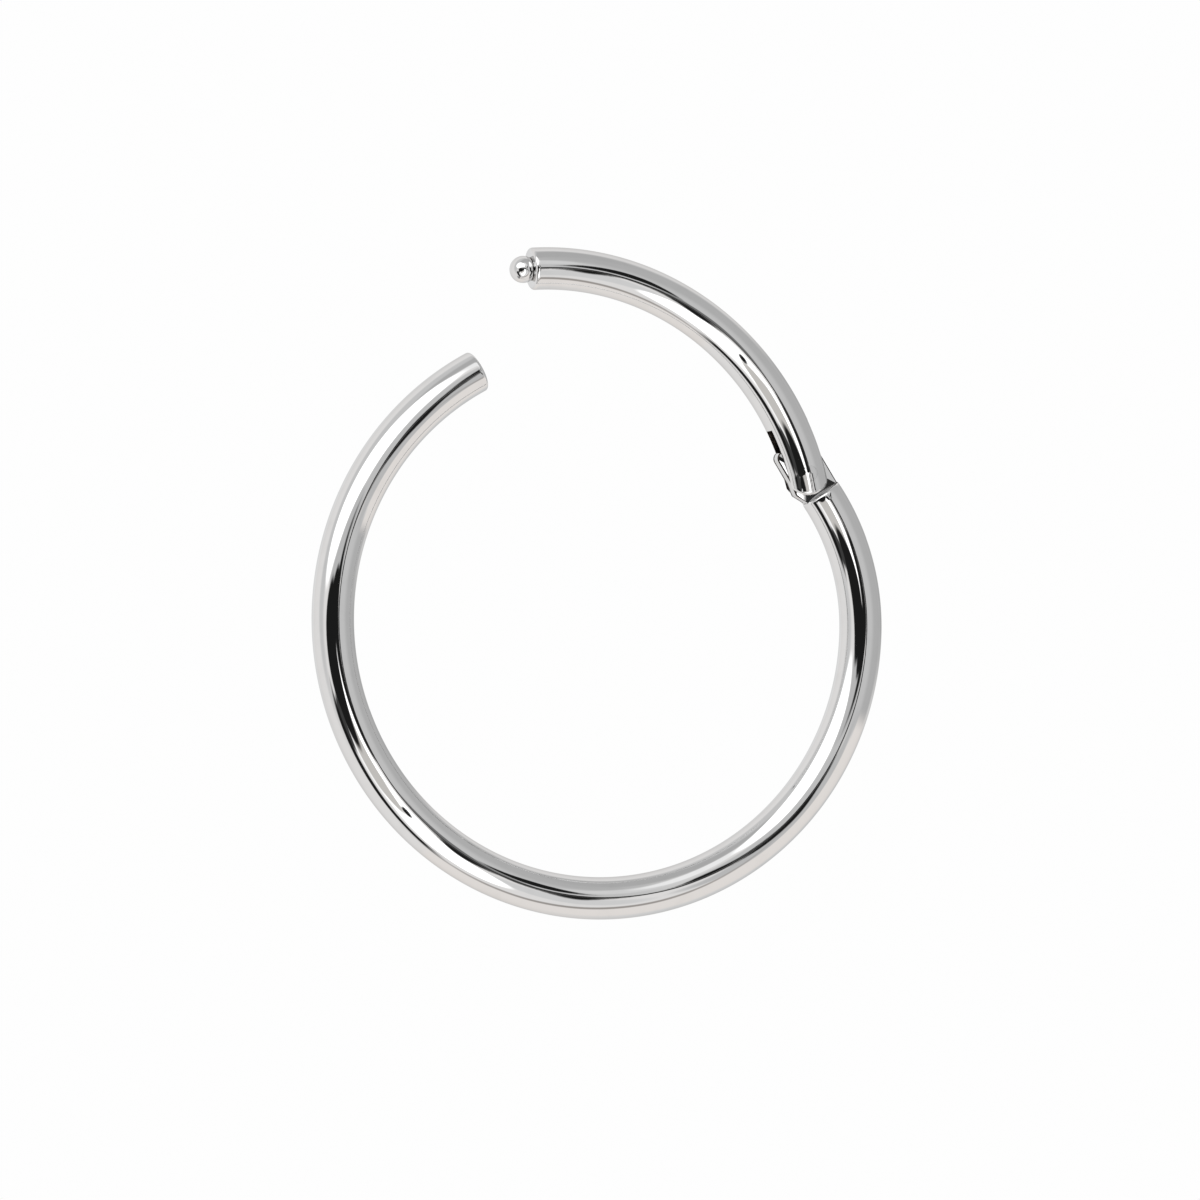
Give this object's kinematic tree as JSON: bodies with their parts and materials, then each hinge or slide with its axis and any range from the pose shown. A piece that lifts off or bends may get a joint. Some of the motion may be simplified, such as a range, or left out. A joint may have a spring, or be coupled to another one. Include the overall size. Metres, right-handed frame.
{
  "type": "nose clicker ring",
  "caption": "Hinged round wire nose ring, standing open: a forked arm swings on a pinned tongue and clicks shut with a ball tip.",
  "frame": {"origin": "centre of the hoop's circle, on the ring's mid-plane", "axes": "+Z along the ring's axis, towards the side that the picture shows; +Y towards the open arm's tip; +X towards the hinge's side"},
  "size_m": [0.014, 0.0158, 0.001],
  "materials": {
    "polished_steel": "mirror polished surgical steel",
    "pin_steel": "ground and polished flush"
  },
  "bodies": {
    "hoop": {"hoop": "polished_steel"},
    "arm": {"arm": "polished_steel", "hinge_pin": "pin_steel"}
  },
  "joints": [
    {"name": "arm_hinge", "type": "hinge", "parent": "hoop", "child": "arm", "pos_m": [0.00514, 0.00351, 0], "axis": [0, 0, 1], "range_deg": [-75, 18.4]}
  ]
}
